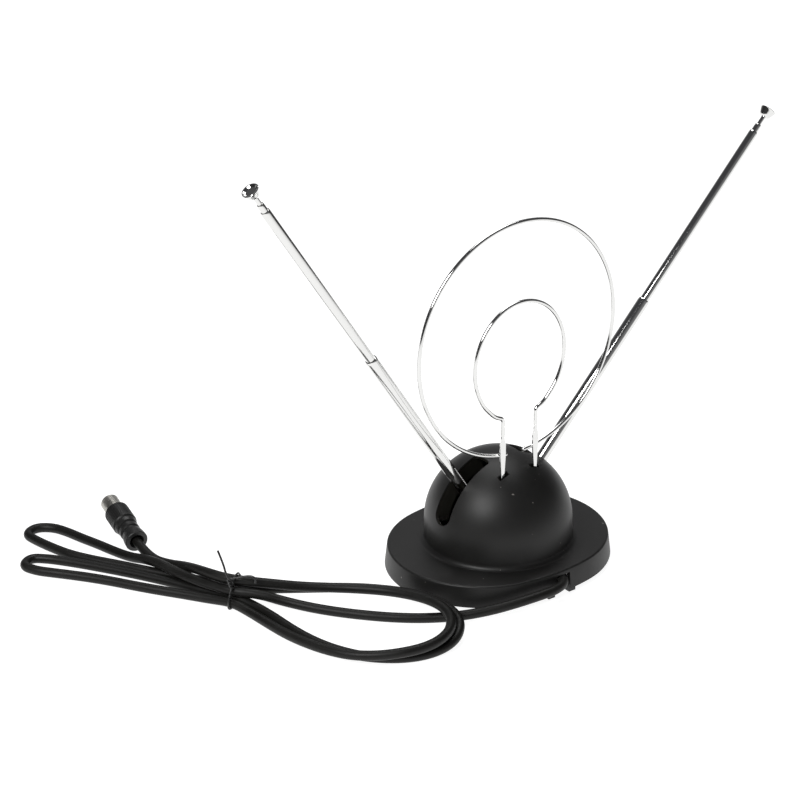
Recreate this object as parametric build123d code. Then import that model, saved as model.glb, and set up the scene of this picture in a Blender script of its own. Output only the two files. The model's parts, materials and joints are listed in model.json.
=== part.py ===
from build123d import *
import math
import os

# Tabletop television antenna: a domed base, two telescopic rods on swing pivots, a two-ring
# wire loop that plugs into the dome, and a coaxial lead that is folded up under a wire tie.
# Millimetres. +Z is up, X runs along the line of the two rods, -Y is the side where the lead
# leaves the base. The origin is the middle of the base, on the surface that it stands on.

# ---------------------------------------------------------------- base cover
base_length = 132.0            # flange, along X
base_depth = 110.0             # flange, along Y
side_flatness = 0.1            # how much flatter than round the flange's long sides are
foot_height = 3.5              # gap under the skirt
skirt_height = 12.5
skirt_flare = 1.5              # the skirt spreads this much on each side towards its lower edge
flange_edge_radius = 1.2
wall = 2.2
dome_radius = 42.5
dome_centre_rise = 11.6        # sphere centre above the flange
dome_foot_radius = 3.0         # hollow fillet where the dome meets the flange

# ---------------------------------------------------------------- rod slots in the dome
slot_width = 12.6
slot_low_angle = 19.5          # middle of the round lower end, seen from the sphere centre
slot_top_angle = 75.0
slot_top_corner = 2.5
slot_wall = 1.5
slot_wall_depth = 11.0

# ---------------------------------------------------------------- rod pivots
pivot_spread = 36.0            # distance between the two pivots
pivot_height = 42.1
pivot_pin_diameter = 3.0
running_clearance = 0.05       # on the radius
lug_thickness = 5.0
lug_diameter = 9.0
cheek_gap = 7.6
cheek_thickness = 2.3
cheek_width = 11.0
frame_floor_thickness = 3.0

# ---------------------------------------------------------------- telescopic rods
tube_diameters = [7.0, 5.4, 4.0]
tube_wall = 0.45
tip_rod_diameter = 2.6
crimp_length = 1.6
first_tube_end = 128.5         # all four are distances from the pivot, along the rod
second_tube_end = 246.0
third_tube_end = 251.0
tip_rod_end = 256.5
tube_start = 7.5               # the first tube begins this far from the pivot
second_tube_length = 126.0
third_tube_length = 121.0
tip_rod_length = 121.5
bush_length = 6.0
knob_length = 5.0
knob_small_diameter = 6.2
knob_large_diameter = 9.8
knob_dish_depth = 1.0
left_elevation = 57.0          # the rods' angles above the horizontal
right_elevation = 46.3

# ---------------------------------------------------------------- wire loop
loop_y = -18.0
ring_radius = 68.2
ring_rise = 5.7                # from the dome's top to the ring's middle line
inner_half_width = 31.4
inner_half_height = 34.6
inner_rise = 61.7              # from the dome's top to the middle of the inner loop
wire_diameter = 2.3
leg_spacing = 23.2
leg_width = 3.8                # where the ring is welded on
leg_neck_width = 2.0
leg_end_width = 2.2
leg_thickness = 1.1
leg_end_height = 47.5          # the legs end inside the dome at this height
leg_flat_rise = 19.9           # the legs are pressed flat up to here above the dome's top
weld_rise = 6.9
ring_left_end = -8.5           # where the ring's two ends stop, along X
ring_right_end = 4.7
leg_slot_length = 6.6
leg_slot_width = 2.6

# ---------------------------------------------------------------- inside the base
plate_thickness = 2.5
plate_gap = 0.4
plate_bottom = 3.5
centre_pad_diameter = 30.0
foot_diameter = 12.0
foot_spread_x = 84.0
foot_spread_y = 56.0
ballast_diameter = 74.0
ballast_thickness = 3.0
screw_diameter = 3.0
screw_head_diameter = 5.6
board_length = 36.0
board_depth = 20.0
board_thickness = 1.6
board_y = 23.0
board_height = 16.5
wire_lead_diameter = 1.2

# ---------------------------------------------------------------- lead
cable_diameter = 5.6
notch_x = 2.7
notch_width = 9.6
notch_height = 10.0
exit_height = 10.2
tie_spot = (-153.4, 44.5)      # middle of the wire tie, on the floor
bundle_heading = 120.2         # direction the folded strands run in, degrees from +X
tie_diameter = 1.6
tie_knot_diameter = 4.0

# ---------------------------------------------------------------- connector
connector_rear = (-160.0, 135.0, 6.9)
connector_heading = 80.6       # degrees from +X
connector_lift = 8.5
grip_ribs = 36

flange_top = foot_height + skirt_height
dome_centre = flange_top + dome_centre_rise
dome_top = dome_centre + dome_radius
ring_centre_height = dome_top + ring_rise + ring_radius
inner_centre_height = dome_top + inner_rise
leg_flat_top = dome_top + leg_flat_rise
weld_height = dome_top + weld_rise
plate_top = plate_bottom + plate_thickness
ballast_top = plate_top + ballast_thickness
frame_floor_top = ballast_top + frame_floor_thickness


# ================================================================ helpers
def oval(length, depth):
    """Four-arc oval face: round ends, flatter long sides."""
    half_length, half_depth = length / 2, depth / 2
    end = half_depth - side_flatness * (half_length - half_depth)
    shift = half_length - end
    side = (shift ** 2 + half_depth ** 2 - end ** 2) / (2 * (half_depth - end))
    lean = math.atan2(side - half_depth, shift)
    px, py = shift + end * math.cos(lean), end * math.sin(lean)
    arcs = [
        ThreePointArc((px, -py), (half_length, 0), (px, py)),
        ThreePointArc((px, py), (0, half_depth), (-px, py)),
        ThreePointArc((-px, py), (-half_length, 0), (-px, -py)),
        ThreePointArc((-px, -py), (0, -half_depth), (px, -py)),
    ]
    return make_face(Curve() + arcs)


def disc(diameter, bottom, top, x=0.0, y=0.0):
    height = top - bottom
    return Pos(x, y, bottom) * Cylinder(diameter / 2, height, align=(Align.CENTER, Align.CENTER, Align.MIN))


def block(x0, x1, y0, y1, z0, z1):
    return Pos((x0 + x1) / 2, (y0 + y1) / 2, (z0 + z1) / 2) * Box(x1 - x0, y1 - y0, z1 - z0)


def bar_y(diameter, x, z, y0, y1):
    """Round bar along Y."""
    return Pos(x, (y0 + y1) / 2, z) * Rot(90, 0, 0) * Cylinder(diameter / 2, abs(y1 - y0))


def wire(points, diameter, radii):
    path = FilletPolyline(*points, radius=radii)
    start = Plane(origin=path @ 0, z_dir=path % 0)
    return sweep(start * Circle(diameter / 2), path=path)


def turn_at(points, k):
    before = Vector(*points[k]) - Vector(*points[k - 1])
    after = Vector(*points[k + 1]) - Vector(*points[k])
    return before.length, after.length, before.get_angle(after)


def easy_radii(points, share):
    """Radius of each corner's arc: a share of its shorter run over the tangent of half its turn."""
    radii = []
    for k in range(1, len(points) - 1):
        before, after, turn = turn_at(points, k)
        radii.append(share * min(before, after) / math.tan(math.radians(turn / 2)))
    return radii


def save(name, *solids):
    pieces = [s for shape in solids for s in shape.solids()]
    part = pieces[0] if len(pieces) == 1 else Compound(children=pieces)
    part.label = name
    export_step(part, f"parts/{name}.step")
    print(f"{name:24s} {len(pieces)} solid(s), {sum(p.volume for p in pieces):10.1f} mm3")


# ================================================================ base cover
def cover_body():
    """Skirt, flange and dome as one moulded shell, open underneath."""
    flare = math.degrees(math.atan(skirt_flare / skirt_height))
    foot_oval = oval(base_length + 2 * skirt_flare, base_depth + 2 * skirt_flare)
    skirt = Pos(0, 0, foot_height) * extrude(foot_oval, skirt_height, taper=flare)
    skirt = fillet(skirt.faces().sort_by(Axis.Z)[-1].edges(), flange_edge_radius)
    dome = disc(2 * dome_radius, foot_height, dome_centre) + Pos(0, 0, dome_centre) * Sphere(dome_radius)
    dome -= block(-100, 100, -100, 100, -100, foot_height)
    outside = skirt + dome
    foot_edges = [
        e for e in outside.edges().filter_by(GeomType.CIRCLE)
        if abs(e.center().Z - flange_top) < 0.01 and abs(e.radius - dome_radius) < 0.01
    ]
    outside = fillet(foot_edges, dome_foot_radius)
    inner_oval = oval(base_length - 2 * wall, base_depth - 2 * wall)
    hollow = extrude(inner_oval, flange_top - wall)
    hollow += disc(2 * (dome_radius - wall), 0, dome_centre)
    hollow += Pos(0, 0, dome_centre) * Sphere(dome_radius - wall)
    return outside - hollow


def slot_cutter(side):
    """Wedge of the dome that a rod swings through, with a round lower end. side is -1 or 1."""
    reach = dome_radius + 20
    low, top = math.radians(slot_low_angle), math.radians(slot_top_angle)
    corners = [
        (0, 0, dome_centre),
        (side * reach * math.cos(low), 0, dome_centre + reach * math.sin(low)),
        (side * reach * math.cos(top), 0, dome_centre + reach * math.sin(top)),
    ]
    face = make_face(Polyline(*corners, close=True))
    wedge = extrude(face, slot_width / 2, dir=(0, 1, 0), both=True)
    direction = Vector(math.cos(top) * side, 0, math.sin(top))
    ends = [
        e for e in wedge.edges()
        if abs(abs((e % 0.5).dot(direction)) - 1) < 1e-4 and abs(e.center().Y) > 0.1
    ]
    wedge = fillet(ends, slot_top_corner)
    aim = Vector(side * math.cos(low), 0, math.sin(low))
    start = Vector(0, 0, dome_centre) + aim * (dome_radius - slot_wall_depth - 6)
    round_end = extrude(Plane(origin=start, z_dir=aim) * Circle(slot_width / 2), slot_wall_depth + 30)
    return wedge + round_end


def slot_walls(side):
    """Two guide walls inside the dome, one on each side of a slot."""
    reach = dome_radius
    low, top = math.radians(slot_low_angle - 9), math.radians(slot_top_angle + 4)
    depth = dome_radius - slot_wall_depth
    rim = [
        (side * reach * math.cos(a), 0, dome_centre + reach * math.sin(a))
        for a in (low, (low + top) / 2, top)
    ]
    root = [
        (side * depth * math.cos(a), 0, dome_centre + depth * math.sin(a))
        for a in (top, (low + top) / 2, low)
    ]
    outline = Curve() + [
        ThreePointArc(*rim), Line(rim[2], root[0]), ThreePointArc(*root), Line(root[2], rim[0]),
    ]
    face = make_face(outline)
    walls = None
    for y in (-slot_width / 2 - slot_wall, slot_width / 2):
        panel = Pos(0, y, 0) * extrude(face, slot_wall, dir=(0, 1, 0))
        walls = panel if walls is None else walls + panel
    return walls & (Pos(0, 0, dome_centre) * Sphere(dome_radius - wall / 2))


screw_spots = [(-47, -20), (47, -20), (-47, 20), (47, 20)]
boss_diameter = 7.0
pilot_diameter = 2.4


def dome_cover():
    shell = cover_body()
    for side in (-1, 1):
        shell += slot_walls(side)
        shell -= slot_cutter(side)
    for side in (-1, 1):
        x = side * leg_spacing / 2
        shell -= block(
            x - leg_slot_length / 2 - side * 0.6, x + leg_slot_length / 2 - side * 0.6,
            loop_y - leg_slot_width / 2, loop_y + leg_slot_width / 2,
            dome_centre + 10, dome_centre + dome_radius,
        )
    shell -= block(
        notch_x - notch_width / 2, notch_x + notch_width / 2,
        -base_depth, -base_depth / 2 + wall + 3, 0, foot_height + notch_height,
    )
    for x, y in screw_spots:
        post = disc(boss_diameter, plate_top, flange_top - wall / 2, x, y)
        shell += post
        shell -= disc(pilot_diameter, plate_top - 1, flange_top - wall - 1, x, y)
    return shell


# ================================================================ base floor
plate_length = base_length - 2 * (wall + plate_gap)
plate_depth = base_depth - 2 * (wall + plate_gap)
lug_width, lug_reach, lug_bottom = 4.6, 3.2, 0.4


def foot_spots():
    return [
        (sx * foot_spread_x / 2, sy * foot_spread_y / 2) for sx in (-1, 1) for sy in (-1, 1)
    ]


def base_plate():
    """Floor of the base, with a pad in the middle and two small lugs beside the lead's notch."""
    plate = Pos(0, 0, plate_bottom) * extrude(oval(plate_length, plate_depth), plate_thickness)
    plate += disc(centre_pad_diameter, 0, plate_bottom)
    front = -plate_depth / 2
    for side in (-1, 1):
        x = notch_x + side * (notch_width / 2 + lug_width / 2 + 0.3)
        x0, x1 = x - lug_width / 2, x + lug_width / 2
        plate += block(x0, x1, front - lug_reach + 1.2, front + 6, lug_bottom, plate_bottom)
    for x, y in screw_spots:
        plate -= disc(screw_diameter + 0.4, 0, plate_top + 1, x, y)
        plate -= disc(screw_head_diameter + 0.6, 0, plate_bottom + 1.0, x, y)
    for x, y in foot_spots():
        plate -= disc(foot_diameter - 4, 0, plate_bottom + 1.5, x, y)
    for s in (-1, 1):
        plate -= clamp_place() * disc(1.9, plate_bottom + 0.4, plate_top + 1, s * clamp_hole_spread / 2, 0)
    return plate


def feet():
    """Rubber feet, each with a plug that presses into the plate."""
    made = []
    for x, y in foot_spots():
        foot = disc(foot_diameter, 0, plate_bottom, x, y)
        foot = fillet(foot.faces().sort_by(Axis.Z)[0].edges(), 0.8)
        made.append(foot + disc(foot_diameter - 4, plate_bottom - 0.5, plate_bottom + 1.5, x, y))
    return made


def pan_screw(x, y, head_bottom, length):
    """Cross-head screw standing up, head down."""
    head = disc(screw_head_diameter, head_bottom, head_bottom + 1.8, x, y)
    head = fillet(head.faces().sort_by(Axis.Z)[0].edges(), 0.6)
    shank = disc(pilot_diameter, head_bottom + 1.8, head_bottom + 1.8 + length, x, y)
    screw = head + shank
    for turn in (0, 90):
        screw -= Pos(x, y, head_bottom) * Rot(0, 0, turn) * Box(3.0, 0.7, 1.6)
    return screw


def base_screws():
    return [pan_screw(x, y, plate_bottom - 0.8, 7.6) for x, y in screw_spots]


frame_screw_spots = [(-28, 0), (28, 0)]


def ballast():
    """Steel disc that keeps the base from tipping."""
    plate = disc(ballast_diameter, plate_top, ballast_top)
    for x, y in frame_screw_spots:
        plate -= disc(pilot_diameter, plate_top - 1, ballast_top + 1, x, y)
    return plate


# ================================================================ pivots
shelf_bottom = 43.0
shelf_top = 45.6


def pivot_spot(side):
    return side * pivot_spread / 2


def pivot_frame():
    """Moulded frame: a floor, a pair of cheeks for each rod, and a shelf for the loop clips."""
    frame = block(-33, 33, -9, 9, ballast_top, frame_floor_top)
    outer = cheek_gap / 2 + cheek_thickness
    for side in (-1, 1):
        x = pivot_spot(side)
        for y0, y1 in ((-outer, -cheek_gap / 2), (cheek_gap / 2, outer)):
            cheek = block(x - cheek_width / 2, x + cheek_width / 2, y0, y1, frame_floor_top, pivot_height)
            cheek += bar_y(cheek_width, x, pivot_height, y0, y1)
            frame += cheek
    reach = pivot_spread / 2 + cheek_width / 2
    frame += block(-reach, reach, -outer, -cheek_gap / 2, frame_floor_top, 30)
    frame += block(-reach, reach, cheek_gap / 2, outer, frame_floor_top, 30)
    frame += block(-9, 9, loop_y - 3.5, -outer, 24, 27) + block(-9, 9, -outer, -cheek_gap / 2, 24, shelf_top)
    shelf_x = leg_spacing / 2 + 3.6
    frame += block(-shelf_x, shelf_x, loop_y - 3.5, loop_y + 3.5, shelf_bottom, shelf_top)
    frame += block(-9, 9, loop_y - 3.5, -outer, shelf_bottom, shelf_top)
    frame += block(-9, 9, loop_y - 3.5, loop_y - 1.5, 24, shelf_bottom)
    for side in (-1, 1):
        frame -= bar_y(pivot_pin_diameter, pivot_spot(side), pivot_height, -20, 20)
        x = side * leg_spacing / 2
        frame -= block(x - 1.2, x + 1.2, loop_y - 1.0, loop_y + 1.0, shelf_bottom - 1, shelf_top + 1)
    for x, y in frame_screw_spots:
        frame -= disc(screw_diameter + 0.2, ballast_top - 1, frame_floor_top + 1, x, y)
    return frame


def frame_screws():
    made = []
    for x, y in frame_screw_spots:
        head = disc(screw_head_diameter, frame_floor_top, frame_floor_top + 1.8, x, y)
        head = fillet(head.faces().sort_by(Axis.Z)[-1].edges(), 0.6)
        for turn in (0, 90):
            head -= Pos(x, y, frame_floor_top + 1.8) * Rot(0, 0, turn) * Box(3.0, 0.7, 1.6)
        made.append(head + disc(pilot_diameter, ballast_top - 2.5, frame_floor_top, x, y))
    return made


def pivot_screw(side):
    """Pivot screw along Y, with its head at the front."""
    x = pivot_spot(side)
    outer = cheek_gap / 2 + cheek_thickness
    shank = bar_y(pivot_pin_diameter, x, pivot_height, -outer, outer + 4.4)
    head = bar_y(screw_head_diameter, x, pivot_height, -outer - 1.8, -outer)
    head = fillet(head.faces().sort_by(Axis.Y)[0].edges(), 0.6)
    screw = head + shank
    for turn in (0, 90):
        screw -= Pos(x, -outer - 1.8, pivot_height) * Rot(0, turn, 0) * Box(3.0, 1.6, 0.7)
    return screw


def pivot_nut(side):
    x = pivot_spot(side)
    outer = cheek_gap / 2 + cheek_thickness
    place = Plane(origin=(x, outer + 1.0, pivot_height), z_dir=(0, 1, 0))
    nut = extrude(place * RegularPolygon(3.1, 6), 2.4)
    return nut - bar_y(pivot_pin_diameter, x, pivot_height, 0, 20)


def solder_tag(side):
    """Brass ring under the nut, with a tail that a wire is soldered to."""
    x = pivot_spot(side)
    outer = cheek_gap / 2 + cheek_thickness
    tag = bar_y(7.0, x, pivot_height, outer, outer + 1.0)
    tag += block(x - 1.5, x + 1.5, outer, outer + 1.0, pivot_height - 11, pivot_height)
    return tag - bar_y(pivot_pin_diameter, x, pivot_height, 0, 20)


def friction_washer(side):
    """Dished washer between the lug and the rear cheek."""
    x = pivot_spot(side)
    y0 = lug_thickness / 2 + 0.1
    washer = bar_y(7.6, x, pivot_height, y0, cheek_gap / 2)
    return washer - bar_y(pivot_pin_diameter, x, pivot_height, -20, 20)


# ================================================================ rods
def rod_frame(side):
    """Place whose Z axis runs out along a rod, from its pivot."""
    lift = math.radians(left_elevation if side < 0 else right_elevation)
    return Plane(
        origin=(pivot_spot(side), 0, pivot_height),
        x_dir=(0, 1, 0),
        z_dir=(side * math.cos(lift), 0, math.sin(lift)),
    )


def turned(points):
    """Solid of revolution about Z from an (r, z) outline."""
    face = make_face(Polyline(*[(r, 0, z) for r, z in points], close=True))
    return revolve(face, Axis.Z, 360)


def rod_lug():
    """Flat eye on the pivot, with a round plug that fits the first tube."""
    plug_diameter = tube_diameters[0] - 2 * tube_wall
    eye = Rot(0, 90, 0) * Cylinder(lug_diameter / 2, lug_thickness)
    neck = Pos(0, 0, 3) * Box(lug_thickness, lug_thickness, 6)
    plug = disc(plug_diameter, tube_start - 0.5, tube_start + 6)
    shoulder = disc(tube_diameters[0], tube_start - 2.0, tube_start)
    lug = eye + neck + plug + shoulder
    return lug - Rot(0, 90, 0) * Cylinder(pivot_pin_diameter / 2 + running_clearance, 20)


def tube(diameter, start, end, inner_diameter):
    """Drawn tube whose far end is rolled in to guide the next section."""
    outer, bore = diameter / 2, diameter / 2 - tube_wall
    throat = inner_diameter / 2 + running_clearance
    return turned([
        (bore, start), (outer, start), (outer, end - crimp_length),
        (outer - 0.12, end - 0.4), (outer - 0.35, end),
        (throat, end), (throat, end - crimp_length + tube_wall), (bore, end - crimp_length - 0.2),
    ])


def stop_bush(inner_diameter, outer_bore, start):
    """Split bush on a section's inner end, which stops it at the rolled lip."""
    rim = outer_bore / 2 - running_clearance
    bush = turned([
        (inner_diameter / 2, start), (rim - 0.1, start), (rim, start + 0.4),
        (rim, start + bush_length - 0.4), (rim - 0.1, start + bush_length),
        (inner_diameter / 2, start + bush_length),
    ])
    return bush - Pos(0, 4, start + bush_length / 2) * Box(0.6, 8, bush_length + 1)


def knob():
    """Small flared end cap with a dished top."""
    r0, r1 = knob_small_diameter / 2, knob_large_diameter / 2
    end = tip_rod_end + knob_length
    cap = turned([
        (0, tip_rod_end), (r0 - 0.5, tip_rod_end), (r0, tip_rod_end + 0.5),
        (r1 - 0.2, end - 0.6), (r1, end - 0.3), (r1 - 0.3, end),
        (r1 - 0.9, end - 0.1), (r1 - 1.9, end - knob_dish_depth), (0, end - knob_dish_depth),
    ])
    return cap


def rod(side, name):
    place = rod_frame(side)
    d1, d2, d3 = tube_diameters
    save(f"{name}_lug", place * rod_lug())
    save(f"{name}_tube_1", place * tube(d1, tube_start, first_tube_end, d2))
    start_2 = second_tube_end - second_tube_length
    start_3 = third_tube_end - third_tube_length
    start_4 = tip_rod_end - tip_rod_length
    save(f"{name}_tube_2", place * tube(d2, start_2, second_tube_end, d3))
    save(f"{name}_tube_3", place * tube(d3, start_3, third_tube_end, tip_rod_diameter))
    save(f"{name}_tip_rod", place * disc(tip_rod_diameter, start_4, tip_rod_end))
    save(f"{name}_bush_2", place * stop_bush(d2, d1 - 2 * tube_wall, start_2))
    save(f"{name}_bush_3", place * stop_bush(d3, d2 - 2 * tube_wall, start_3))
    save(f"{name}_bush_4", place * stop_bush(tip_rod_diameter, d3 - 2 * tube_wall, start_4))
    save(f"{name}_knob", place * knob())


# ================================================================ wire loop
def inner_loop():
    """Oval inner ring with two ends that turn down and are pressed into flat legs."""
    corners = 14
    first = math.degrees(math.asin(leg_spacing / 2 / inner_half_width))
    step = (360 - 2 * first) / corners
    stretch = 1 / math.cos(math.radians(step / 2))
    bend_height = inner_centre_height - inner_half_height * math.cos(math.radians(first))
    half = leg_spacing / 2
    points = [(half, loop_y, leg_flat_top), (half, loop_y, bend_height)]
    for k in range(corners):
        a = math.radians(first + (k + 0.5) * step)
        points.append((
            inner_half_width * stretch * math.sin(a), loop_y,
            inner_centre_height - inner_half_height * stretch * math.cos(a),
        ))
    points += [(-half, loop_y, bend_height), (-half, loop_y, leg_flat_top)]
    radii = easy_radii(points, 0.49)
    radii[0] = radii[-1] = 1.3 * wire_diameter
    loop = wire(points, wire_diameter, radii)
    for side in (-1, 1):
        loop += spade_leg(side * half)
    return loop


def spade_leg(x):
    """Flat leg: widest at the weld, narrower at its rounded end inside the dome."""
    widths = [
        (leg_neck_width / 2, leg_flat_top + 1.0), (leg_neck_width / 2, leg_flat_top - 3.0),
        (leg_width / 2, weld_height + 7.0), (leg_width / 2, weld_height),
        (leg_end_width / 2, weld_height - 12.0), (leg_end_width / 2, leg_end_height + 0.8),
        (leg_end_width / 2 - 0.6, leg_end_height),
    ]
    outline = [(x + w, loop_y, z) for w, z in widths] + [(x - w, loop_y, z) for w, z in reversed(widths)]
    face = make_face(Polyline(*outline, close=True))
    leg = extrude(face, leg_thickness / 2, dir=(0, 1, 0), both=True)
    return fillet(leg.edges().filter_by(Axis.Y, reverse=True), 0.2 * leg_thickness)


ring_y = loop_y + leg_thickness / 2 + wire_diameter / 2 - 0.25


def outer_ring():
    """Round outer ring, open at the bottom, welded to the back of both legs."""
    def at(angle):
        return (ring_radius * math.sin(angle), ring_y, ring_centre_height - ring_radius * math.cos(angle))

    start = math.asin(ring_right_end / ring_radius)
    stop = 2 * math.pi + math.asin(ring_left_end / ring_radius)
    path = ThreePointArc(at(start), at((start + stop) / 2), at(stop))
    section = Plane(origin=path @ 0, z_dir=path % 0) * Circle(wire_diameter / 2)
    ring = sweep(section, path=path)
    for angle in (start, stop):
        ring += Pos(*at(angle)) * Sphere(wire_diameter / 2)
    for side in (-1, 1):
        ring -= spade_leg(side * leg_spacing / 2)
    return ring


def loop_clip(side):
    """Springy brass clip that grips a leg from both sides; it stands on the frame's shelf."""
    x = side * leg_spacing / 2
    gap = leg_thickness / 2 + 0.05
    clip = block(x - 2.4, x + 2.4, loop_y - 2.2, loop_y + 2.2, shelf_top, shelf_top + 1.2)
    for s in (-1, 1):
        y0, y1 = sorted((loop_y + s * gap, loop_y + s * (gap + 0.6)))
        clip += block(x - 2.4, x + 2.4, y0, y1, shelf_top, shelf_top + 9.0)
    return clip + block(x - 0.9, x + 0.9, loop_y - 0.45, loop_y + 0.45, shelf_bottom - 3, shelf_top)


# ================================================================ balun board and inner wiring
board_top = board_height + board_thickness
board_posts = [(-14, 0), (14, 0)]


def circuit_board():
    y0 = board_y - board_depth / 2
    board = block(-board_length / 2, board_length / 2, y0, y0 + board_depth, board_height, board_top)
    for x, dy in board_posts:
        board -= disc(2.6, 0, 40, x, board_y + dy)
    return board


def board_standoffs():
    """Hexagonal posts that carry the board on the base floor."""
    made = []
    for x, dy in board_posts:
        post = Pos(x, board_y + dy, ballast_top) * extrude(RegularPolygon(2.8, 6), board_height - ballast_top)
        made.append(post - disc(1.9, board_height - 5, board_height + 1, x, board_y + dy))
    return made


def board_screws():
    made = []
    for x, dy in board_posts:
        head = disc(4.4, board_top, board_top + 1.5, x, board_y + dy)
        for turn in (0, 90):
            head -= Pos(x, board_y + dy, board_top + 1.5) * Rot(0, 0, turn) * Box(2.4, 0.6, 1.4)
        made.append(head + disc(1.9, board_height - 4.5, board_top, x, board_y + dy))
    return made


def balun_core():
    """Two-hole ferrite core lying on the board."""
    core = block(-7, 7, board_y - 4, board_y + 4, board_top, board_top + 7)
    core = fillet(core.edges().filter_by(Axis.Y), 2.2)
    for x in (-3.2, 3.2):
        core -= bar_y(3.2, x, board_top + 3.5, board_y - 6, board_y + 6)
    return core


def balun_winding():
    """Enamelled wire turns through the core's two holes."""
    made = []
    for x in (-3.2, 3.2):
        made.append(bar_y(2.4, x, board_top + 3.5, board_y - 5.2, board_y + 5.2))
    for y in (board_y - 4.8, board_y + 4.8):
        made.append(Pos(0, y, board_top + 3.5) * Rot(0, 90, 0) * Cylinder(0.75, 6.4))
    coil = made[0]
    for piece in made[1:]:
        coil += piece
    return coil


def inner_wire(points):
    """Thin wire whose last end is soldered flat on the board."""
    return wire(points, wire_lead_diameter, easy_radii(points, 0.4)) - circuit_board()


def rod_wire(side):
    """From a solder tag down to the rear half of the board."""
    x = pivot_spot(side)
    y = cheek_gap / 2 + cheek_thickness + 1.0 + wire_lead_diameter / 2
    low = pivot_height - 9.5
    return inner_wire([
        (x, y, low), (x, y + 2.0, low - 6), (side * 12, board_y - 7.5, board_top + 6),
        (side * 10.5, board_y - 7.5, board_top),
    ])


def loop_wire(side):
    """From a loop clip's tail, down behind the shelf's post and back to the board."""
    x = side * leg_spacing / 2
    edge = side * (pivot_spread / 2 + cheek_width / 2 + 3.5)
    return inner_wire([
        (x, loop_y, shelf_bottom - 3), (x, loop_y, shelf_bottom - 11), (edge, loop_y + 6, 30),
        (edge, 8, 24), (side * 17.5, board_y - 6, board_top + 5), (side * 16, board_y - 6, board_top),
    ])


# ================================================================ lead
def bundle(along, across, height):
    """Point in the folded bundle: measured from the tie, along the strands and across them."""
    a = math.radians(bundle_heading)
    return (
        tie_spot[0] + along * math.cos(a) + across * math.sin(a),
        tie_spot[1] + along * math.sin(a) - across * math.cos(a),
        height,
    )


# Where the lead runs. It leaves the notch, turns along the skirt and lies down on the floor.
lead_start = [
    (6.2, -46, exit_height), (2.9, -57.5, 10.4), (-8, -62.6, 10.8), (-20.5, -61.6, 10.4),
    (-34, -58.2, 8.8), (-47, -52.6, 6.4), (-60, -45, 4.2), (-73.5, -35, 2.8),
    (-86.5, -25, 2.8), (-98, -13.5, 2.8),
]
# Through the tie, round the upper fold, and back through the tie.
first_fold = [
    (-60, 15.5, 2.8), (-43, 13.5, 3.2), (-27, 11, 5.2), (-14, 6.6, 9.4), (0, 2.9, 10),
    (14, 5.2, 9.6), (29, 9, 8.8), (42, 13.4, 8.4), (54, 17, 9.4), (66, 22.5, 7),
    (79, 27.4, 3.2), (92, 31, 2.8), (105, 35, 2.8), (118, 38.2, 2.8), (129, 41.6, 2.8),
    (140, 43.4, 2.8), (149.5, 39.2, 2.8), (150.2, 29.6, 2.8), (141, 25.4, 2.8),
    (126, 20.6, 2.8), (113, 17.6, 2.8), (98, 16.9, 2.8), (82, 17.4, 2.8), (66, 17.3, 2.8),
    (50, 17.6, 2.8), (35, 17.4, 3.4), (20, 14.2, 6), (9, 9.9, 9), (-4, 10, 9.2),
]
# The outer turn beside the base, which passes over the lead itself.
outer_turn = [
    (-15, 17.6, 7.4), (-29, 27.6, 5.6), (-44, 35.2, 5.2), (-60, 41, 5.4), (-76, 43.2, 6.2),
    (-92, 42.4, 7.6), (-106, 38, 8.9), (-117, 32.2, 9.4), (-126, 25, 8.8), (-130.5, 15.5, 6.6),
    (-130, 5, 4.4), (-124, -6, 3.2), (-114, -15, 2.8), (-101, -21, 2.8), (-87, -23.6, 2.8),
    (-72, -22.4, 2.8), (-57, -18.2, 2.8), (-42, -11.4, 2.8), (-28, -3.6, 2.8), (-14, 2.6, 3.2),
]
# Through the tie, round the lower fold, and back through the tie.
second_fold = [
    (0, 5.8, 4.8), (14, 7.6, 3.4), (28, 9, 2.8), (43, 10.6, 2.8), (58, 11.2, 2.8),
    (74, 11.3, 2.8), (89, 10.9, 2.8), (103, 10.3, 2.8), (114, 9.4, 2.8), (123, 8.2, 2.8),
    (132.5, 5.4, 2.8), (132, -4.6, 2.8), (122, -6.6, 2.8), (113, -5.4, 2.8), (101, -3.6, 2.8),
    (88, -2, 2.8), (74, -1.2, 2.8), (60, -1, 2.8), (46, -0.4, 2.8), (31, 0.8, 2.8),
    (15, 0.9, 3.3), (0, 0, 4.8),
]
# The inner turn lies partly on the outer one.
inner_turn = [
    (-13, -4, 3.4), (-27, -10.4, 2.8), (-42, -18, 3.2), (-57, -24.4, 4.4), (-72, -28.7, 5.4),
    (-87, -29.8, 6.2), (-101, -26.6, 7.4), (-113, -20.6, 8.8), (-122, -12.4, 9.6),
    (-127, -2, 10.2), (-127.8, 8.5, 10.9), (-124, 19, 12), (-115.5, 27.4, 12.4),
    (-104, 33, 11.6), (-90.5, 36.4, 10.3), (-76, 37.2, 9), (-60, 34.4, 8.4), (-45, 29.2, 8.5),
    (-31, 22.6, 9.6), (-17, 14.2, 12.8),
]
# Over the top of the bundle and down to the connector.
lead_end = [
    (-6, 8.2, 15), (6, 6.2, 15.4), (18, 8.8, 14.8), (30, 14.8, 12.2), (41, 21, 8.6),
    (52, 25, 5.4), (64, 28.6, 3.9), (75.98, 35.22, 5.82), (85.33, 42.95, 7.63),
]


def lead_points():
    folded = first_fold + outer_turn + second_fold + inner_turn + lead_end
    return lead_start + [bundle(*spot) for spot in folded]


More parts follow.
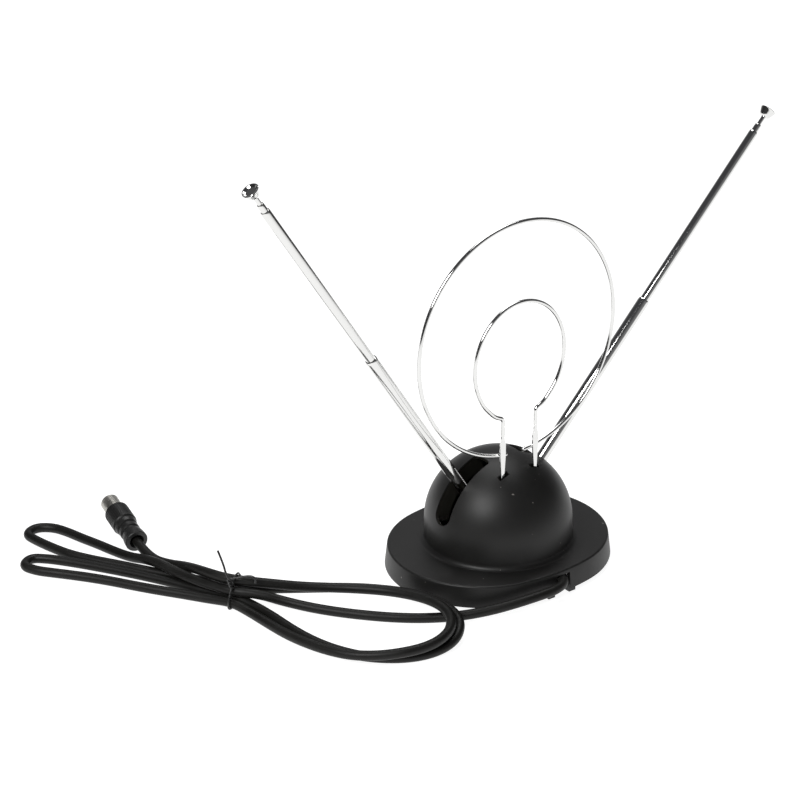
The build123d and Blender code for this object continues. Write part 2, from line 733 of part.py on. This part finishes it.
def coax_lead():
    points = lead_points()
    radii = easy_radii(points, 0.45)
    tube = wire(points, cable_diameter, radii)
    turned_radii = ", ".join(f"{r:.0f}" for r in radii)
    print("lead radii, mm:", turned_radii)
    length = tube.volume / (math.pi * cable_diameter ** 2 / 4)
    straight = sum(turn_at(points, k)[0] for k in range(1, len(points) - 1))
    print(f"lead length from volume {length:.0f} mm, polyline {straight:.0f} mm")
    return tube


def clamp_place():
    """The lead's first straight stretch, just inside the notch."""
    start, after = Vector(*lead_start[0]), Vector(*lead_start[1])
    run = (after - start).normalized()
    spot = start + run * 1.8
    turn = math.degrees(math.atan2(run.Y, run.X)) + 90
    return Pos(spot.X, spot.Y, 0) * Rot(0, 0, turn)


clamp_hole_spread = 13.2


def lead_clamp():
    """Saddle that holds the lead down just inside its notch."""
    half = cable_diameter / 2 + 0.05
    top = exit_height + cable_diameter / 2 + 0.6
    saddle = block(-4.4, 4.4, -1.6, 1.6, plate_top, top)
    saddle = fillet(saddle.edges().filter_by(Axis.Y).group_by(Axis.Z)[-1], 1.6)
    saddle += block(-8.6, 8.6, -1.6, 1.6, plate_top, plate_top + 2.4)
    saddle -= bar_y(2 * half, 0, exit_height, -4, 4)
    saddle -= block(-half, half, -4, 4, 0, exit_height)
    for s in (-1, 1):
        saddle -= disc(2.0, 0, 40, s * clamp_hole_spread / 2, 0)
    return clamp_place() * saddle


def lead_clamp_screws():
    made = []
    for s in (-1, 1):
        x = s * clamp_hole_spread / 2
        head = disc(3.2, plate_top + 2.4, plate_top + 3.9, x, 0)
        for turn in (0, 90):
            head -= Pos(x, 0, plate_top + 3.9) * Rot(0, 0, turn) * Box(2.0, 0.5, 1.4)
        made.append(clamp_place() * (head + disc(1.9, plate_bottom + 0.4, plate_top + 2.4, x, 0)))
    return made


def lead_core():
    """The lead's inner conductor, in its white jacket, round the frame to the board."""
    x, y, z = lead_start[0]
    return inner_wire([
        (x, y, z + 1.1), (13, -38, 12), (28, -22, 16.5), (33.5, 0, 18.5), (27, 19, 21.5),
        (19, 28.5, 22), (16.4, 29.5, board_top),
    ])


def lead_braid():
    """The lead's braid, twisted together, round the frame to the board."""
    x, y, z = lead_start[0]
    return inner_wire([
        (x, y, z - 1.3), (14.5, -35, 10.6), (28, -18, 13), (32, 2, 15.6), (26, 16, 18.5),
        (19.4, 24.5, 20.4), (16.8, 26, board_top),
    ])


# ================================================================ tie
def tie_place():
    """Plane across the bundle at the tie: X across the strands, Y up."""
    a = math.radians(bundle_heading)
    return Plane(
        origin=(tie_spot[0], tie_spot[1], 0), x_dir=(math.sin(a), -math.cos(a), 0),
        z_dir=(-math.cos(a), -math.sin(a), 0),
    )


def tie_outline():
    """Corners of the tightest loop round the five strands."""
    return [(-0.4, 4.8), (5.8, 4.8), (9.9, 9.1), (7.2, 15.2), (2.9, 10.0)]


def twist_tie():
    """Wire tie: a loop round the bundle, a knot, a straight tail and a hooked end."""
    place = tie_place()
    hull = make_face(Polyline(*tie_outline(), close=True))
    loop = offset(hull, (cable_diameter + tie_diameter) / 2 + 0.35, kind=Kind.ARC).face().outer_wire()
    spot = loop @ 0.0
    section = Plane(origin=spot, z_dir=loop % 0.0) * Circle(tie_diameter / 2)
    tie = place * sweep(section, path=loop)
    tail = [
        bundle(0.6, -0.2, 16.6), bundle(1.5, -0.6, 18.5), bundle(3, -0.5, 23), bundle(4.5, 0.2, 28),
        bundle(8, 1, 35),
    ]
    hook = [bundle(0, 1, 16.7), bundle(-5, 3.5, 19), bundle(-11, 4.5, 20.5), bundle(-13, 4.5, 17.5)]
    tie += Pos(*bundle(0.3, 0.6, 16.8)) * Sphere(tie_knot_diameter / 2)
    tie += wire(tail, tie_diameter, easy_radii(tail, 0.4))
    tie += wire(hook, tie_diameter, easy_radii(hook, 0.4))
    return tie


# ================================================================ connector
def connector_place():
    """Place whose Z axis runs from the connector's rear collar out to its tip."""
    lift, heading = math.radians(connector_lift), math.radians(connector_heading)
    flat = math.cos(lift)
    return Plane(
        origin=connector_rear,
        z_dir=(flat * math.cos(heading), flat * math.sin(heading), math.sin(lift)),
    )


def connector_body():
    """Moulded body: flared rear collar with a deep recess, two grooves and a plain barrel."""
    body = turned([
        (4.4, 0), (6.5, 0), (6.8, 0.6), (6.6, 4.0), (6.0, 7.5), (5.4, 8.4), (5.4, 9.4), (6.1, 10.0),
        (6.1, 12.6), (5.4, 13.2), (5.4, 14.2), (6.3, 14.8), (6.7, 17.0), (6.7, 17.6), (5.0, 17.6),
        (5.0, 31.0), (3.6, 31.0), (3.6, 28.0), (3.9, 28.0), (3.9, 19.0), (0, 19.0), (0, 5.0),
        (2.9, 5.0),
    ])
    return connector_place() * body


def connector_grip():
    """Finely ribbed sleeve that turns with the nut."""
    sleeve = turned([
        (5.05, 17.9), (6.6, 17.9), (7.35, 18.7), (7.35, 31.6), (6.8, 32.2), (5.6, 32.2), (5.6, 31.2),
        (5.05, 31.2),
    ])
    for k in range(grip_ribs):
        a = 360 * k / grip_ribs
        sleeve -= Rot(0, 0, a) * Pos(7.45, 0, 25.2) * Box(0.7, 0.7, 10.6)
    return connector_place() * sleeve


def connector_nut():
    """Threaded silver nut, pressed into the ribbed sleeve."""
    nut = turned([
        (5.0, 32.2), (5.5, 32.6), (5.5, 43.0), (5.1, 43.6), (4.5, 43.6), (4.5, 33.0), (3.65, 33.0),
        (3.65, 31.3), (5.0, 31.3),
    ])
    for k in range(6):
        groove = turned([(5.2, 34.4 + 1.4 * k), (6.0, 34.0 + 1.4 * k), (6.0, 34.8 + 1.4 * k)])
        nut -= groove
    return connector_place() * nut


def connector_post():
    """Brass post that the braid is crimped to, inside the nut."""
    post = turned([(0.95, 19.2), (3.55, 19.2), (3.55, 36.5), (3.1, 37.0), (2.4, 37.0), (2.4, 26.0), (0.95, 26.0)])
    return connector_place() * post


def connector_pin():
    pin = turned([(0, 19.0), (0.5, 19.0), (0.5, 42.2), (0.2, 42.8), (0, 42.8)])
    return connector_place() * pin


# ================================================================ build
def main():
    os.makedirs("parts", exist_ok=True)
    save("dome_cover", dome_cover())
    save("base_plate", base_plate())
    save("feet", *feet())
    save("base_screws", *base_screws())
    save("ballast_disc", ballast())
    save("pivot_frame", pivot_frame())
    save("frame_screws", *frame_screws())
    for side, name in ((-1, "left"), (1, "right")):
        save(f"{name}_pivot_screw", pivot_screw(side))
        save(f"{name}_pivot_nut", pivot_nut(side))
        save(f"{name}_solder_tag", solder_tag(side))
        save(f"{name}_friction_washer", friction_washer(side))
        rod(side, name)
        save(f"{name}_rod_wire", rod_wire(side))
        save(f"{name}_loop_wire", loop_wire(side))
    save("loop_clips", loop_clip(-1), loop_clip(1))
    save("inner_loop", inner_loop())
    save("outer_ring", outer_ring())
    save("circuit_board", circuit_board())
    save("board_standoffs", *board_standoffs())
    save("board_screws", *board_screws())
    save("balun_core", balun_core())
    save("balun_winding", balun_winding())
    save("lead_clamp", lead_clamp())
    save("lead_clamp_screws", *lead_clamp_screws())
    save("lead_core", lead_core())
    save("lead_braid", lead_braid())
    save("coax_lead", coax_lead())
    save("twist_tie", twist_tie())
    save("connector_body", connector_body())
    save("connector_grip", connector_grip())
    save("connector_nut", connector_nut())
    save("connector_post", connector_post())
    save("connector_pin", connector_pin())


main()
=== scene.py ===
# Tabletop television antenna: materials, lead, tie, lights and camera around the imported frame.
import json
import math

import bmesh
import bpy
from mathutils import Matrix, Vector


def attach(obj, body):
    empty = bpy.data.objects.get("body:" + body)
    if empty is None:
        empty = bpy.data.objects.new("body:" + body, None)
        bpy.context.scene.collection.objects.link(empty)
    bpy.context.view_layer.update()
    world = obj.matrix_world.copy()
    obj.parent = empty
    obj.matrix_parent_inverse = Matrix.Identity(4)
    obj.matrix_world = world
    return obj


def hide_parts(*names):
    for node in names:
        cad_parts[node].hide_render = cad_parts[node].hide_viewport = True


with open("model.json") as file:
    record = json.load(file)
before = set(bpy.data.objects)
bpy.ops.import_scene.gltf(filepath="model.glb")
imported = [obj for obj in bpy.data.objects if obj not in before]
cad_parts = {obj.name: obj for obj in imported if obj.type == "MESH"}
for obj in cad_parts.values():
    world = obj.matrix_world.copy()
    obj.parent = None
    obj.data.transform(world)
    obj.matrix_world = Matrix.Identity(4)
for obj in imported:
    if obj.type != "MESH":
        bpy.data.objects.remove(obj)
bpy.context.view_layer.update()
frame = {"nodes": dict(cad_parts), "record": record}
scene = bpy.context.scene
bodyOfNode = {n: body for body, names in frame["record"]["behaviour"]["bodies"].items() for n in names}
print("frame loaded:", len(frame["nodes"]), "nodes")

# ---- camera
cameraSet = {
    "place": (-0.7973, -0.9910, 0.6851), "heading": 36.32, "tilt": 24.65, "roll": 0.57,
    "lens": 112.5, "sensor": 36, "near": 0.05, "far": 30,
}


def placeCamera(s):
    data = bpy.data.cameras.new("productCamera")
    data.lens, data.sensor_width, data.sensor_fit = s["lens"], s["sensor"], "HORIZONTAL"
    data.clip_start, data.clip_end = s["near"], s["far"]
    camera = bpy.data.objects.new("productCamera", data)
    turn = Matrix.Rotation(math.radians(-s["heading"]), 4, "Z")
    turn = turn @ Matrix.Rotation(math.radians(90 - s["tilt"]), 4, "X")
    turn = turn @ Matrix.Rotation(math.radians(-s["roll"]), 4, "Z")
    camera.matrix_world = Matrix.Translation(s["place"]) @ turn
    scene.collection.objects.link(camera)
    scene.camera = camera


placeCamera(cameraSet)
print("camera placed")

# ---- the lead: the route in millimetres, on the floor and through the tie
leadSet = {
    "diameter": 0.0056, "length": 1.5, "exit": (0.0032, -0.0565, 0.0103),
    "tieSpot": (-153.4, 44.5), "heading": 120.2, "sides": 7, "steps": 8,
}
leadStart = [
    (6.2, -46, 10.2), (2.9, -57.5, 10.4), (-8, -62.6, 10.8), (-20.5, -61.6, 10.4),
    (-34, -58.2, 8.8), (-47, -52.6, 6.4), (-60, -45, 4.2), (-73.5, -35, 2.8),
    (-86.5, -25, 2.8), (-98, -13.5, 2.8),
]
# from here on: along the strands, across them, height
firstFold = [
    (-60, 15.5, 2.8), (-43, 13.5, 3.2), (-27, 11, 5.2), (-14, 6.6, 9.4), (0, 2.9, 10),
    (14, 5.2, 9.6), (29, 9, 8.8), (42, 13.4, 8.4), (54, 17, 9.4), (66, 22.5, 7),
    (79, 27.4, 3.2), (92, 31, 2.8), (105, 35, 2.8), (118, 38.2, 2.8), (129, 41.6, 2.8),
    (140, 43.4, 2.8), (149.5, 39.2, 2.8), (150.2, 29.6, 2.8), (141, 25.4, 2.8),
    (126, 20.6, 2.8), (113, 17.6, 2.8), (98, 16.9, 2.8), (82, 17.4, 2.8), (66, 17.3, 2.8),
    (50, 17.6, 2.8), (35, 17.4, 3.4), (20, 14.2, 6), (9, 9.9, 9), (-4, 10, 9.2),
]
outerTurn = [
    (-15, 17.6, 7.4), (-29, 27.6, 5.6), (-44, 35.2, 5.2), (-60, 41, 5.4), (-76, 43.2, 6.2),
    (-92, 42.4, 7.6), (-106, 38, 8.9), (-117, 32.2, 9.4), (-126, 25, 8.8), (-130.5, 15.5, 6.6),
    (-130, 5, 4.4), (-124, -6, 3.2), (-114, -15, 2.8), (-101, -21, 2.8), (-87, -23.6, 2.8),
    (-72, -22.4, 2.8), (-57, -18.2, 2.8), (-42, -11.4, 2.8), (-28, -3.6, 2.8), (-14, 2.6, 3.2),
]
secondFold = [
    (0, 5.8, 4.8), (14, 7.6, 3.4), (28, 9, 2.8), (43, 10.6, 2.8), (58, 11.2, 2.8),
    (74, 11.3, 2.8), (89, 10.9, 2.8), (103, 10.3, 2.8), (114, 9.4, 2.8), (123, 8.2, 2.8),
    (132.5, 5.4, 2.8), (132, -4.6, 2.8), (122, -6.6, 2.8), (113, -5.4, 2.8), (101, -3.6, 2.8),
    (88, -2, 2.8), (74, -1.2, 2.8), (60, -1, 2.8), (46, -0.4, 2.8), (31, 0.8, 2.8),
    (15, 0.9, 3.3), (0, 0, 4.8),
]
innerTurn = [
    (-13, -4, 3.4), (-27, -10.4, 2.8), (-42, -18, 3.2), (-57, -24.4, 4.4), (-72, -28.7, 5.4),
    (-87, -29.8, 6.2), (-101, -26.6, 7.4), (-113, -20.6, 8.8), (-122, -12.4, 9.6),
    (-127, -2, 10.2), (-127.8, 8.5, 10.9), (-124, 19, 12), (-115.5, 27.4, 12.4),
    (-104, 33, 11.6), (-90.5, 36.4, 10.3), (-76, 37.2, 9), (-60, 34.4, 8.4), (-45, 29.2, 8.5),
    (-31, 22.6, 9.6), (-17, 14.2, 12.8),
]
leadEnd = [
    (-6, 8.2, 15), (6, 6.2, 15.4), (18, 8.8, 14.8), (30, 14.8, 12.2), (41, 21, 8.6),
    (52, 25, 5.4), (64, 28.6, 3.9), (75.98, 35.22, 5.82), (85.33, 42.95, 7.63),
]


def bundlePoint(along, across, height):
    a = math.radians(leadSet["heading"])
    x = leadSet["tieSpot"][0] + along * math.cos(a) + across * math.sin(a)
    y = leadSet["tieSpot"][1] + along * math.sin(a) - across * math.cos(a)
    return (x / 1000, y / 1000, height / 1000)


def smoothLine(name, points, radius, sides, steps, closed=False):
    data = bpy.data.curves.new(name, "CURVE")
    data.dimensions = "3D"
    spline = data.splines.new("NURBS")
    spline.points.add(len(points) - 1)
    for spot, place in zip(spline.points, points):
        spot.co = (*place, 1)
        spot.radius = radius  # Blender's box round a curve grows by this, so the depth is one
    spline.order_u = 3
    spline.use_endpoint_u = not closed
    spline.use_cyclic_u = closed
    data.resolution_u = steps
    data.bevel_depth, data.bevel_resolution = 1, sides
    data.use_fill_caps = not closed
    piece = bpy.data.objects.new(name, data)
    scene.collection.objects.link(piece)
    return piece


folded = firstFold + outerTurn + secondFold + innerTurn + leadEnd
leadPoints = [(x / 1000, y / 1000, z / 1000) for x, y, z in leadStart] + [bundlePoint(*p) for p in folded]
lead = smoothLine("coaxLead", leadPoints, leadSet["diameter"] / 2, leadSet["sides"], leadSet["steps"])
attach(lead, "base")
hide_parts("coax_lead")
print("lead laid:", len(leadPoints), "points")

# ---- the wire tie: a loop round the strands, two wires twisted together, a tail and a hook
tieSet = {
    "radius": 0.00062, "sides": 3, "steps": 6,
    "twistStart": (0, 0.2, 13.6), "twistEnd": (1.4, -0.4, 18.8), "wind": 0.7, "turns": 1.5,
}
tieLoop = [
    (-4.6, 5.4), (-3.6, 1.15), (7.4, 1.15), (13.8, 8.0), (13.4, 11.4), (10.4, 17.8), (7.4, 19.2), (3.6, 17.6),
    (-1.0, 12.2),
]
tieTail = [(2.6, -0.6, 22), (4.5, 0.2, 28), (8, 1, 35)]
tieHook = [(-1.5, 1.6, 19.2), (-5, 3.5, 20), (-10.6, 4.6, 21.2), (-13.2, 4.8, 19.6), (-12.6, 4.5, 17)]


def twistedWire(s, phase, steps=12):
    """Control points, in bundle millimetres, of one of the two wires twisted round each other."""
    points = []
    for k in range(steps + 1):
        share = k / steps
        angle = 2 * math.pi * (s["turns"] * share + phase)
        middle = [a + (b - a) * share for a, b in zip(s["twistStart"], s["twistEnd"])]
        along = middle[0] + s["wind"] * math.cos(angle)
        across = middle[1] + s["wind"] * math.sin(angle)
        points.append((along, across, middle[2]))
    return points


def addStrand(data, points, radius):
    spline = data.splines.new("NURBS")
    spline.points.add(len(points) - 1)
    for spot, place in zip(spline.points, points):
        spot.co = (*bundlePoint(*place), 1)
        spot.radius = radius
    spline.order_u = 3
    spline.use_endpoint_u = True


def wireTie(s):
    loop = [bundlePoint(0, *p) for p in tieLoop]
    tie = smoothLine("wireTie", loop, s["radius"], s["sides"], s["steps"], closed=True)
    addStrand(tie.data, twistedWire(s, 0) + tieTail, s["radius"])
    addStrand(tie.data, twistedWire(s, 0.5) + tieHook, s["radius"])
    tie.data.use_fill_caps = True
    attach(tie, "base")
    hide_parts("twist_tie")
    return tie


tie = wireTie(tieSet)
print("tie wound")

# ---- materials
socketName = {"rough": "Roughness", "metal": "Metallic", "shine": "Specular IOR Level"}


def startMaterial(name, colour, **sockets):
    """Principled shader with plain values on its own sockets."""
    material = bpy.data.materials.new(name)
    material.use_nodes = True
    tree = material.node_tree
    shader = tree.nodes["Principled BSDF"]
    shader.inputs["Base Color"].default_value = (*colour, 1)
    for key, value in sockets.items():
        shader.inputs[socketName[key]].default_value = value
    coords = tree.nodes.new("ShaderNodeTexCoord")
    return material, tree, shader, coords.outputs["Object"]


def addNoise(tree, where, scale, detail, rough=0.5):
    noise = tree.nodes.new("ShaderNodeTexNoise")
    noise.inputs["Scale"].default_value = scale
    noise.inputs["Detail"].default_value = detail
    noise.inputs["Roughness"].default_value = rough
    tree.links.new(where, noise.inputs["Vector"])
    return noise.outputs["Fac"]


def remap(tree, value, low, high, toLow, toHigh):
    node = tree.nodes.new("ShaderNodeMapRange")
    for key, number in (("From Min", low), ("From Max", high), ("To Min", toLow), ("To Max", toHigh)):
        node.inputs[key].default_value = number
    tree.links.new(value, node.inputs["Value"])
    return node.outputs["Result"]


def mixColour(tree, factor, first, second):
    node = tree.nodes.new("ShaderNodeMix")
    node.data_type = "RGBA"
    tree.links.new(factor, node.inputs["Factor"])
    for socket, colour in ((node.inputs[6], first), (node.inputs[7], second)):
        if isinstance(colour, tuple):
            socket.default_value = (*colour, 1)
        else:
            tree.links.new(colour, socket)
    return node.outputs[2]


def addBump(tree, shader, height, strength, depth):
    bump = tree.nodes.new("ShaderNodeBump")
    bump.inputs["Strength"].default_value = strength
    bump.inputs["Distance"].default_value = depth
    tree.links.new(height, bump.inputs["Height"])
    tree.links.new(bump.outputs["Normal"], shader.inputs["Normal"])


plasticSet = {"cloudScale": 35, "grainScale": 2600, "grainStrength": 0.25, "grainDepth": 0.00004}


def mouldedPlastic(name, colour, lighter, rough, shine=0.5):
    """Plastic with faint clouds of a lighter shade and a fine moulded grain."""
    s = plasticSet
    material, tree, shader, where = startMaterial(name, colour, rough=rough, shine=shine)
    cloud = addNoise(tree, where, s["cloudScale"], 3)
    shade = mixColour(tree, remap(tree, cloud, 0.35, 0.7, 0, 1), colour, lighter)
    tree.links.new(shade, shader.inputs["Base Color"])
    tree.links.new(remap(tree, cloud, 0.3, 0.7, rough - 0.04, rough + 0.05), shader.inputs["Roughness"])
    addBump(tree, shader, addNoise(tree, where, s["grainScale"], 2), s["grainStrength"], s["grainDepth"])
    return material


def platedMetal(name, colour, rough, smearScale=90):
    """Bare or plated metal, a little duller where it has been handled."""
    material, tree, shader, where = startMaterial(name, colour, rough=rough, metal=1.0)
    smear = addNoise(tree, where, smearScale, 3, 0.6)
    tree.links.new(remap(tree, smear, 0.3, 0.75, rough * 0.7, rough * 1.6), shader.inputs["Roughness"])
    return material


# The slot walls within the dome are the same black plastic; their colour is lightened as painted fill light,
# since little light reaches into the slots.
coverSet = {
    "satin": (0.0068, 0.0066, 0.0062), "satinLight": (0.0094, 0.0092, 0.0088), "rough": 0.44, "shine": 0.34,
    "inside": (0.020, 0.019, 0.016), "insideRough": 0.16, "centre": (0, 0, 0.0276), "innerRadius": 0.0414,
    "wallBlend": 0.0004, "dust": (0.16, 0.15, 0.14), "dustScale": 480, "dustCut": 0.862, "dustEdge": 0.02,
    "cloudScale": 30, "grainScale": 2400, "grainStrength": 0.22, "grainDepth": 0.00003,
}


def coverPlastic(s):
    """Satin outside with a little dust; the slots' walls within the dome are glossy, their black lightened as
    painted fill light.
    """
    material, tree, shader, where = startMaterial("coverPlastic", s["satin"], shine=s["shine"])
    cloud = addNoise(tree, where, s["cloudScale"], 3)
    outside = mixColour(tree, remap(tree, cloud, 0.35, 0.7, 0, 1), s["satin"], s["satinLight"])
    speckle = addNoise(tree, where, s["dustScale"], 0)
    speck = remap(tree, speckle, s["dustCut"], s["dustCut"] + s["dustEdge"], 0, 1)
    outside = mixColour(tree, speck, outside, s["dust"])
    away = tree.nodes.new("ShaderNodeVectorMath")
    away.operation = "DISTANCE"
    away.inputs[1].default_value = s["centre"]
    tree.links.new(where, away.inputs[0])
    outerWall = s["innerRadius"] + s["wallBlend"]
    isOutside = remap(tree, away.outputs["Value"], s["innerRadius"], outerWall, 0, 1)
    # Within the inner radius the slot walls take their lightened colour: painted fill light over their own
    # black.
    tree.links.new(mixColour(tree, isOutside, s["inside"], outside), shader.inputs["Base Color"])
    satin = remap(tree, cloud, 0.3, 0.7, s["rough"] - 0.03, s["rough"] + 0.04)
    blend = tree.nodes.new("ShaderNodeMix")
    tree.links.new(isOutside, blend.inputs["Factor"])
    blend.inputs[2].default_value = s["insideRough"]
    tree.links.new(satin, blend.inputs[3])
    tree.links.new(blend.outputs[0], shader.inputs["Roughness"])
    addBump(tree, shader, addNoise(tree, where, s["grainScale"], 2), s["grainStrength"], s["grainDepth"])
    return material


cableSet = {
    "middle": (0.007, 0.0068, 0.0062), "dark": (0.006, 0.0058, 0.0052), "light": (0.0095, 0.0093, 0.0086),
    "rough": 0.46, "roughSpread": 0.06, "shine": 0.22, "cloudScale": 60,
    "grainScale": 1500, "grainStrength": 0.2, "grainDepth": 0.00004,
}


def cableRubber(s):
    material, tree, shader, where = startMaterial("cableRubber", s["middle"], rough=s["rough"], shine=s["shine"])
    cloud = addNoise(tree, where, s["cloudScale"], 3)
    colour = mixColour(tree, remap(tree, cloud, 0.35, 0.7, 0, 1), s["dark"], s["light"])
    tree.links.new(colour, shader.inputs["Base Color"])
    low, high = s["rough"] - s["roughSpread"], s["rough"] + s["roughSpread"]
    tree.links.new(remap(tree, cloud, 0.3, 0.7, low, high), shader.inputs["Roughness"])
    addBump(tree, shader, addNoise(tree, where, s["grainScale"], 2), s["grainStrength"], s["grainDepth"])
    return material


finishes = {
    "cover": coverPlastic(coverSet),
    "cable": cableRubber(cableSet),
    "floorPlate": mouldedPlastic("floorPlatePlastic", (0.012, 0.012, 0.013), (0.018, 0.018, 0.019), 0.5),
    "framePlastic": mouldedPlastic("framePlastic", (0.05, 0.05, 0.055), (0.07, 0.07, 0.075), 0.45),
    "footRubber": mouldedPlastic("footRubber", (0.01, 0.01, 0.01), (0.016, 0.016, 0.016), 0.7),
    "plugPlastic": mouldedPlastic("plugPlastic", (0.007, 0.007, 0.0068), (0.01, 0.01, 0.0096), 0.42, 0.45),
    "tieWire": mouldedPlastic("tieWire", (0.01, 0.01, 0.01), (0.016, 0.016, 0.016), 0.3),
    "nylon": mouldedPlastic("nylonClamp", (0.7, 0.7, 0.66), (0.78, 0.78, 0.74), 0.45),
    "whiteWire": mouldedPlastic("whiteWire", (0.7, 0.7, 0.7), (0.78, 0.78, 0.78), 0.4),
    "redWire": mouldedPlastic("redWire", (0.35, 0.02, 0.015), (0.45, 0.03, 0.02), 0.4),
    "board": mouldedPlastic("boardGreen", (0.02, 0.12, 0.04), (0.03, 0.16, 0.06), 0.3),
    "ferrite": mouldedPlastic("ferriteCore", (0.02, 0.02, 0.02), (0.035, 0.035, 0.035), 0.55),
    "chrome": platedMetal("chromePlate", (0.70, 0.70, 0.69), 0.07),
    "nickel": platedMetal("nickelPlate", (0.46, 0.45, 0.42), 0.34),
    "steel": platedMetal("zincSteel", (0.62, 0.62, 0.64), 0.3),
    "brass": platedMetal("brassPart", (0.72, 0.52, 0.22), 0.25),
    "copper": platedMetal("enamelledCopper", (0.55, 0.2, 0.08), 0.3),
}
finishOfSlot = {
    "moulded_black": "cover", "floor_black": "floorPlate", "frame_grey": "framePlastic",
    "rubber_black": "footRubber", "steel": "steel", "ballast_steel": "steel", "chrome": "chrome",
    "brass": "brass", "nylon": "nylon", "board_green": "board", "ferrite": "ferrite",
    "enamelled": "copper", "wire_white": "whiteWire", "wire_red": "redWire", "braid": "steel",
    "cable_black": "cable", "tie_black": "tieWire", "plug_black": "plugPlastic", "plug_nickel": "nickel",
}
slotOfNode = {part["node"]: part["material_slot"] for part in frame["record"]["subparts"]}
lead.data.materials.append(finishes["cable"])
tie.data.materials.append(finishes["tieWire"])
for node, piece in frame["nodes"].items():
    for place in piece.material_slots:
        place.material = finishes[finishOfSlot[slotOfNode[node]]]
print("materials on", len(frame["nodes"]), "nodes")


# ---- smooth-shaded copies of the nodes that show
def smoothCopy(node, name, sharpAngle=30, weldGap=0.000002):
    source = frame["nodes"][node]
    work = bmesh.new()
    work.from_mesh(source.data)
    bmesh.ops.remove_doubles(work, verts=work.verts, dist=weldGap)
    for face in work.faces:
        face.smooth = True
    for edge in work.edges:
        edge.smooth = len(edge.link_faces) != 2 or edge.calc_face_angle(0) < math.radians(sharpAngle)
    mesh = bpy.data.meshes.new(name)
    work.to_mesh(mesh)
    work.free()
    if "custom_normal" in mesh.attributes:
        mesh.attributes.remove(mesh.attributes["custom_normal"])
    mesh.materials.clear()
    mesh.materials.append(finishes[finishOfSlot[slotOfNode[node]]])
    for face in mesh.polygons:
        face.material_index = 0
    piece = bpy.data.objects.new(name, mesh)
    scene.collection.objects.link(piece)
    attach(piece, bodyOfNode[node])
    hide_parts(node)
    return piece


shownNodes = ["dome_cover", "inner_loop", "outer_ring"]
for side in ("left", "right"):
    shownNodes += [f"{side}_{part}" for part in ("tube_1", "tube_2", "tube_3", "tip_rod", "knob", "lug")]
for node in shownNodes:
    words = node.split("_")
    smoothCopy(node, words[0] + "".join(w.capitalize() for w in words[1:]))
print("smooth copies:", len(shownNodes))


# ---- stage: pale floor, two soft boxes and the room
stageSet = {
    "floorSize": 8, "floorDrop": 0.00005, "floorColour": (0.35, 0.35, 0.35), "floorGlow": 0.93,
    "edgeGlow": 0.45, "poolMiddle": (0.27, 0.34, 0), "poolInner": 0.82, "poolOuter": 3.0,
    "boxes": [
        {"name": "keyBox", "place": (-1.5, -0.5, 1.5), "size": (1.0, 1.0), "power": 34},
        {"name": "topBox", "place": (0.4, 0.6, 1.9), "size": (1.2, 1.2), "power": 18},
    ],
    "aim": (0, 0, 0.08),
}


def layFloor(s):
    work = bmesh.new()
    bmesh.ops.create_grid(work, x_segments=1, y_segments=1, size=s["floorSize"] / 2)
    mesh = bpy.data.meshes.new("floor")
    work.to_mesh(mesh)
    work.free()
    material, tree, shader, where = startMaterial("paleFloor", s["floorColour"], rough=0.8, shine=0.1)
    pool = tree.nodes.new("ShaderNodeVectorMath")
    pool.operation = "DISTANCE"
    pool.inputs[1].default_value = s["poolMiddle"]
    tree.links.new(where, pool.inputs[0])
    glow = remap(tree, pool.outputs["Value"], s["poolInner"], s["poolOuter"], s["floorGlow"], s["edgeGlow"])
    shader.inputs["Emission Color"].default_value = (1, 1, 1, 1)
    tree.links.new(glow, shader.inputs["Emission Strength"])
    mesh.materials.append(material)
    floor = bpy.data.objects.new("floor", mesh)
    floor.location.z = -s["floorDrop"]
    scene.collection.objects.link(floor)


def hangLights(s):
    for box in s["boxes"]:
        data = bpy.data.lights.new(box["name"], "AREA")
        data.shape = "RECTANGLE"
        data.size, data.size_y = box["size"]
        data.energy = box["power"]
        light = bpy.data.objects.new(box["name"], data)
        light.location = box["place"]
        aim = Vector(s["aim"]) - Vector(box["place"])
        light.rotation_euler = aim.to_track_quat("-Z", "Y").to_euler()
        scene.collection.objects.link(light)


# "around" gives the room's greys, each with its share of the full turn
worldSet = {
    "around": [
        (0.0, 0.05), (0.12, 0.06), (0.20, 0.20), (0.28, 0.30), (0.36, 0.12), (0.45, 0.05), (0.52, 0.10),
        (0.60, 0.50), (0.69, 0.55), (0.78, 0.16), (0.88, 0.04), (0.95, 0.04), (1.0, 0.05),
    ],
    "blueShare": 1.02, "strength": 0.8,
    "overhead": (0.07, 0.07, 0.075), "overheadFrom": 0.25, "overheadFull": 0.8,
}


def studioWorld(s):
    """A room with two pale sides and darker ones between, which draw lines in the chrome."""
    world = bpy.data.worlds.new("studio")
    world.use_nodes = True
    scene.world = world
    tree = world.node_tree
    coords = tree.nodes.new("ShaderNodeTexCoord")
    split = tree.nodes.new("ShaderNodeSeparateXYZ")
    tree.links.new(coords.outputs["Generated"], split.inputs[0])
    around = tree.nodes.new("ShaderNodeMath")
    around.operation = "ARCTAN2"
    tree.links.new(split.outputs["Y"], around.inputs[0])
    tree.links.new(split.outputs["X"], around.inputs[1])
    share = remap(tree, around.outputs[0], -math.pi, math.pi, 0, 1)
    ramp = tree.nodes.new("ShaderNodeValToRGB")
    elements = ramp.color_ramp.elements
    while len(elements) < len(s["around"]):
        elements.new(0.5)
    for element, (place, grey) in zip(elements, s["around"]):
        element.position = place
        element.color = (grey, grey, grey * s["blueShare"], 1)
    tree.links.new(share, ramp.inputs["Fac"])
    height = remap(tree, split.outputs["Z"], s["overheadFrom"], s["overheadFull"], 0, 1)
    sky = mixColour(tree, height, ramp.outputs["Color"], s["overhead"])
    background = tree.nodes["Background"]
    tree.links.new(sky, background.inputs["Color"])
    background.inputs["Strength"].default_value = s["strength"]


layFloor(stageSet)
hangLights(stageSet)
studioWorld(worldSet)
scene.view_settings.view_transform = "Standard"
print("stage lit")
